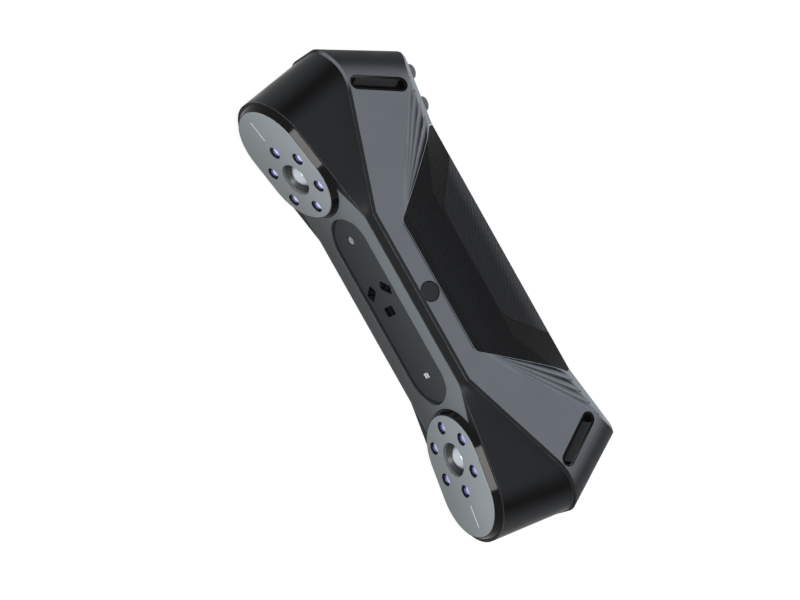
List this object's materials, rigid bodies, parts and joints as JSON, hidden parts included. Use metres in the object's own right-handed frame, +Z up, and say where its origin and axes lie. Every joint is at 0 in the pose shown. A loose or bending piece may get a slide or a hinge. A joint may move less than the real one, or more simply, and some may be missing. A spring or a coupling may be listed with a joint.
{
  "type": "handheld 3d scanner",
  "caption": "Handheld structured-light scanner: long grey body with a rubber back grip, toed-in camera pods with lamp rings, a tinted laser window, push buttons and a plugged tripod socket.",
  "frame": {"origin": "below the middle of the whole box, on the surface that the body lies on", "axes": "+X along the body from the button end to the port end, the lenses look towards -Y, +Z up through the side panel with the tripod socket"},
  "size_m": [0.2126, 0.0747, 0.049],
  "materials": {
    "grey_shell": "fine satin moulded texture",
    "black_shell": "satin black moulding",
    "panel_grey": "satin grey paint",
    "pod_grey": "satin light grey",
    "gloss_black": "polished black",
    "tinted_window": "dark tinted sheet",
    "grip_rubber": "black rubber with a fine raised pattern",
    "seal_rubber": "dark rubber",
    "button_grey": "satin dark grey",
    "vent_black": "black",
    "sensor_black": "black",
    "sensor_white": "white",
    "lamp_glass": "clear with a violet-blue tint",
    "camera_glass": "coated glass",
    "outlet_glass": "ribbed clear glass",
    "anodised_black": "dark grey anodised",
    "machined_aluminium": "machined",
    "brass_fitting": "turned brass",
    "steel": "plated steel",
    "circuit_board": "green board"
  },
  "bodies": {
    "body": {"bench_screws": "steel", "board_standoffs": "brass_fitting", "button_board": "circuit_board", "button_switches": "sensor_black", "centre_window": "tinted_window", "colour_camera": "sensor_black", "front_panel": "panel_grey", "front_shell": "black_shell", "grip_sleeve": "grip_rubber", "heat_sink": "machined_aluminium", "laser_barrels": "brass_fitting", "laser_block": "machined_aluminium", "laser_lenses": "outlet_glass", "lower_camera_board": "circuit_board", "lower_camera_lens": "camera_glass", "lower_camera_sensor": "sensor_black", "lower_led_board": "circuit_board", "lower_led_lenses": "lamp_glass", "lower_lens_barrel": "anodised_black", "lower_pod_bezel": "gloss_black", "lower_pod_face": "pod_grey", "lower_vent_base": "vent_black", "lower_vent_top": "vent_black", "main_board": "circuit_board", "optical_bench": "machined_aluminium", "port_board": "circuit_board", "port_socket": "steel", "range_sensor": "sensor_white", "rear_shell": "grey_shell", "shell_screws": "steel", "tripod_bush": "brass_fitting", "upper_camera_board": "circuit_board", "upper_camera_lens": "camera_glass", "upper_camera_sensor": "sensor_black", "upper_led_board": "circuit_board", "upper_led_lenses": "lamp_glass", "upper_lens_barrel": "anodised_black", "upper_pod_bezel": "gloss_black", "upper_pod_face": "pod_grey", "upper_vent_base": "vent_black", "upper_vent_top": "vent_black", "window_gasket": "seal_rubber"},
    "scan_button": {"scan_button": "button_grey"},
    "mode_button": {"mode_button": "button_grey"},
    "tripod_plug": {"tripod_plug": "seal_rubber"}
  },
  "joints": [
    {"name": "scan_press", "type": "slide", "parent": "body", "child": "scan_button", "axis": [-0.1546, -0.988, 0], "range_m": [0, 0.0009], "stiffness_N_per_m": 1200},
    {"name": "mode_press", "type": "slide", "parent": "body", "child": "mode_button", "axis": [-0.1546, -0.988, 0], "range_m": [0, 0.0009], "stiffness_N_per_m": 1200},
    {"name": "plug_pull", "type": "slide", "parent": "body", "child": "tripod_plug", "axis": [0, 0, 1], "range_m": [0, 0.03]}
  ]
}
